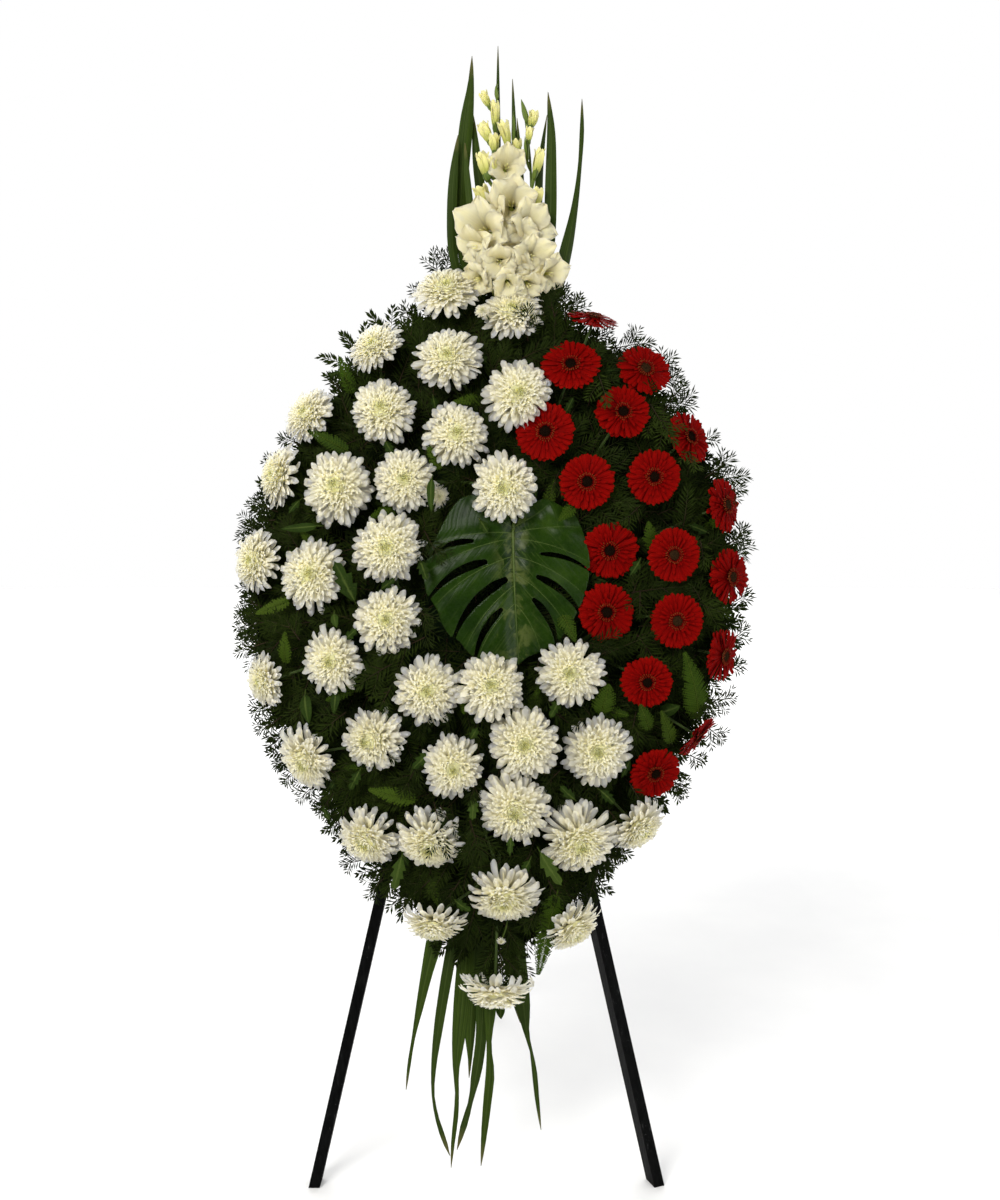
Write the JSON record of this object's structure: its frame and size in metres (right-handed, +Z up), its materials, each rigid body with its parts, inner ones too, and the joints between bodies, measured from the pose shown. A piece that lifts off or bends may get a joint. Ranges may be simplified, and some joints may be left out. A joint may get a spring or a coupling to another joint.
{
  "type": "funeral wreath on an easel",
  "caption": "Oval funeral wreath of cream chrysanthemums, red gerberas, white gladioli and green leaves on a foam pad, leaning on a folding easel with a hinged rear leg.",
  "frame": {"origin": "on the floor, under the middle of the whole object's box", "axes": "+Z up, the wreath faces -Y, +X to the right of someone looking at its face"},
  "size_m": [0.9286, 0.8342, 2.0641],
  "materials": {
    "easel_paint": "satin",
    "easel_steel": "satin",
    "frame_lath": "matte",
    "foam": "matte",
    "fir_greenery": "matte",
    "split_leaf": "gloss",
    "chrysanthemum_petal": "matte",
    "gerbera_petal": "matte",
    "gladiolus_petal": "matte",
    "sword_leaf": "satin"
  },
  "bodies": {
    "easel_front": {"head_block": "easel_paint", "left_leg": "easel_paint", "right_leg": "easel_paint", "hinge_plate_fixed": "easel_steel", "hinge_pin": "easel_steel", "hinge_screw_1": "easel_steel", "hinge_screw_2": "easel_steel", "left_leg_bolt": "easel_steel", "right_leg_bolt": "easel_steel", "wreath_peg_left": "easel_steel", "wreath_peg_right": "easel_steel", "frame_spine": "frame_lath", "frame_rail_upper": "frame_lath", "frame_rail_lower": "frame_lath", "foam_pad": "foam", "greenery_bed": "fir_greenery", "monstera_leaf": "split_leaf", "chrysanthemum_spray_01": "chrysanthemum_petal", "chrysanthemum_spray_02": "chrysanthemum_petal", "chrysanthemum_spray_03": "chrysanthemum_petal", "chrysanthemum_spray_04": "chrysanthemum_petal", "chrysanthemum_spray_05": "chrysanthemum_petal", "chrysanthemum_spray_06": "chrysanthemum_petal", "chrysanthemum_spray_07": "chrysanthemum_petal", "chrysanthemum_spray_08": "chrysanthemum_petal", "chrysanthemum_spray_09": "chrysanthemum_petal", "chrysanthemum_spray_10": "chrysanthemum_petal", "chrysanthemum_spray_11": "chrysanthemum_petal", "chrysanthemum_spray_12": "chrysanthemum_petal", "chrysanthemum_spray_13": "chrysanthemum_petal", "chrysanthemum_spray_14": "chrysanthemum_petal", "gerbera_01": "gerbera_petal", "gerbera_02": "gerbera_petal", "gerbera_03": "gerbera_petal", "gerbera_04": "gerbera_petal", "gerbera_05": "gerbera_petal", "gerbera_06": "gerbera_petal", "gerbera_07": "gerbera_petal", "gerbera_08": "gerbera_petal", "gerbera_09": "gerbera_petal", "gerbera_10": "gerbera_petal", "gerbera_11": "gerbera_petal", "gerbera_12": "gerbera_petal", "gerbera_13": "gerbera_petal", "gerbera_14": "gerbera_petal", "gerbera_15": "gerbera_petal", "gerbera_16": "gerbera_petal", "gerbera_17": "gerbera_petal", "gerbera_18": "gerbera_petal", "gladiolus_spike_left": "gladiolus_petal", "gladiolus_spike_right": "gladiolus_petal", "sword_leaves_upper_left": "sword_leaf", "sword_leaves_upper_right": "sword_leaf", "sword_leaves_lower_left": "sword_leaf", "sword_leaves_lower_middle": "sword_leaf", "sword_leaves_lower_right": "sword_leaf"},
    "rear_leg": {"rear_leg": "easel_paint", "hinge_plate_moving": "easel_steel", "hinge_screw_3": "easel_steel", "hinge_screw_4": "easel_steel"}
  },
  "joints": [
    {"name": "rear_leg_hinge", "type": "hinge", "parent": "easel_front", "child": "rear_leg", "pos_m": [-0.01059, -0.02282, 1.25916], "axis": [-1, 0, 0], "range_deg": [0, 28]}
  ]
}
